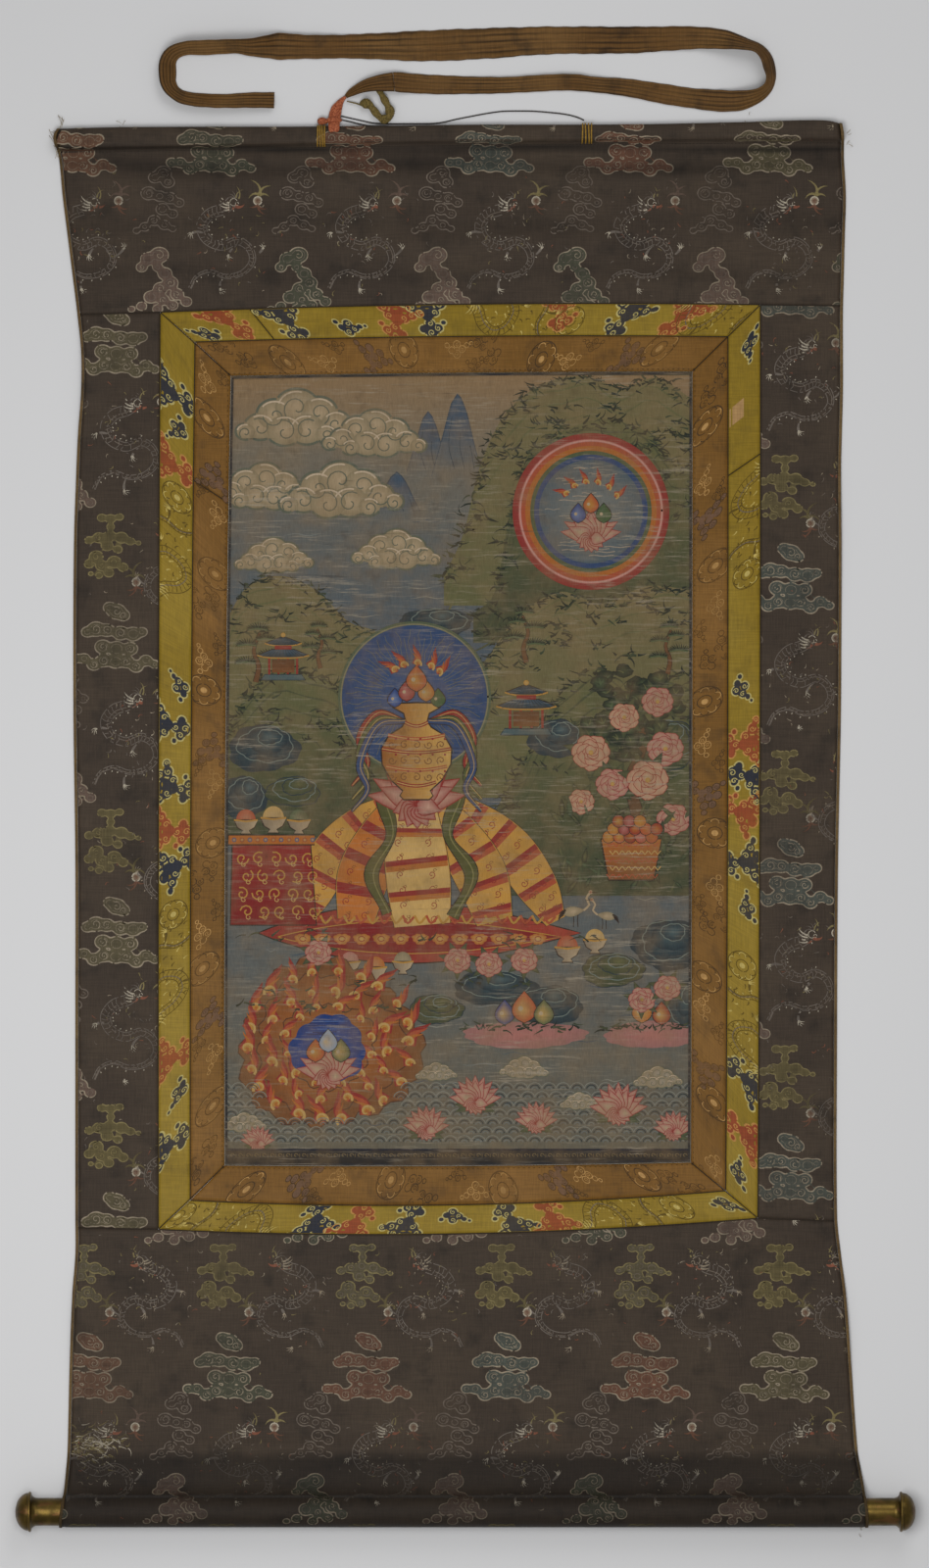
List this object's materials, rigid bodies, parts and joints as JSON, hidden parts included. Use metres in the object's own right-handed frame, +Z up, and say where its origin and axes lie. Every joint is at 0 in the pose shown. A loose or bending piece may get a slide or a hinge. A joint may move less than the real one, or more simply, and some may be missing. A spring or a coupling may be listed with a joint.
{
  "type": "scroll painting in a brocade mount, with its roller and top bar",
  "caption": "Painted cotton scroll in silk frames and dark brocade, laid out face up, with a padded top bar, a wooden roller with brass caps, a silk tie and a hanging cord.",
  "frame": {"origin": "centre of the scroll's box, on the surface on which it lies face up", "axes": "+X to the right of the painting, +Y towards the top bar, +Z up out of the surface"},
  "size_m": [0.916, 1.5336, 0.0407],
  "materials": {
    "brocade": "dark purple brown ribbed silk brocade with woven clouds and dragons in worn colours",
    "yellow_silk": "yellow silk brocade with navy and red clouds",
    "orange_silk": "faded orange brown silk brocade",
    "painted_cotton": "matt mineral paint on primed cotton, worn across",
    "binding": "narrow olive brown silk binding, frayed",
    "roller_wood": "plain turned wood, hidden in the sleeve",
    "cap_brass": "aged brass, bright along the middle",
    "tie_silk": "soft brown silk with lengthwise creases",
    "wrapping_silk": "faded orange red silk",
    "olive_thread": "knotted olive cord, frayed",
    "black_thread": "thin black hanging cord",
    "yellow_thread": "yellow lashing thread"
  },
  "bodies": {
    "root": {"panel_top": "brocade", "panel_left": "brocade", "panel_right": "brocade", "panel_bottom": "brocade", "yellow_top_1": "yellow_silk", "yellow_top_2": "yellow_silk", "yellow_right_1": "yellow_silk", "yellow_right_2": "yellow_silk", "yellow_bottom": "yellow_silk", "yellow_left": "yellow_silk", "orange_top": "orange_silk", "orange_right": "orange_silk", "orange_bottom": "orange_silk", "orange_left_1": "orange_silk", "orange_left_2": "orange_silk", "canvas": "painted_cotton", "binding_left": "binding", "binding_right": "binding", "roller": "roller_wood", "cap_left": "cap_brass", "cap_right": "cap_brass", "tie_head": "tie_silk", "tie": "tie_silk", "wrapping": "wrapping_silk", "knot": "wrapping_silk", "olive_cord": "olive_thread", "hanging_cord_front": "black_thread", "hanging_cord_back": "black_thread", "lashing_left": "yellow_thread", "lashing_right": "yellow_thread"}
  },
  "joints": []
}
